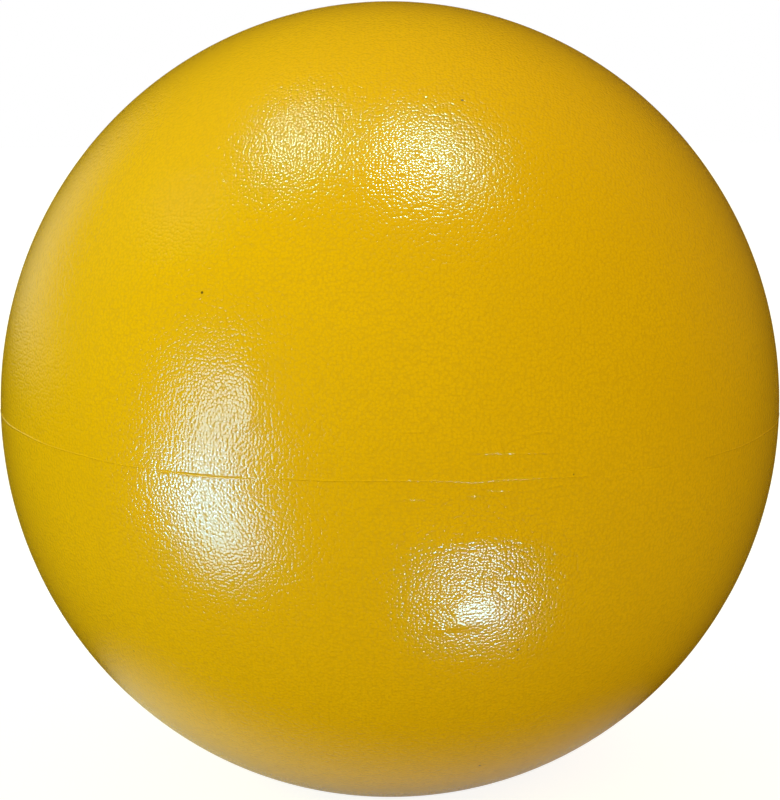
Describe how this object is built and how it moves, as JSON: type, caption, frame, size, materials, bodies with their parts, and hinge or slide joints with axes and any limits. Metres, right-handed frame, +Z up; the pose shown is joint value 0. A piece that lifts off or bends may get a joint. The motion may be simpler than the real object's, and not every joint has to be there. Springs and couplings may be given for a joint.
{
  "type": "medicine ball",
  "caption": "Soft-shell exercise weight: a grained vinyl ball with a fine parting line, holding air and loose sand behind a push-in stopper.",
  "frame": {"origin": "centre of the flat patch that the ball rests on, at floor height", "axes": "+Z up, along the ball's mould axis; +Y towards the back, the side that the valve is in; +X to the right seen from the front"},
  "size_m": [0.2004, 0.2004, 0.2006],
  "materials": {
    "skin": "satin",
    "grommet": "satin",
    "stopper": "satin",
    "sand": "matte"
  },
  "bodies": {
    "ball": {"outer_skin": "skin", "valve_grommet": "grommet", "sand_fill": "sand"},
    "stopper": {"valve_plug": "stopper"}
  },
  "joints": [
    {"name": "plug_pull", "type": "slide", "parent": "ball", "child": "stopper", "axis": [0, 0.7732, 0.6342], "range_m": [0, 0.027]}
  ]
}
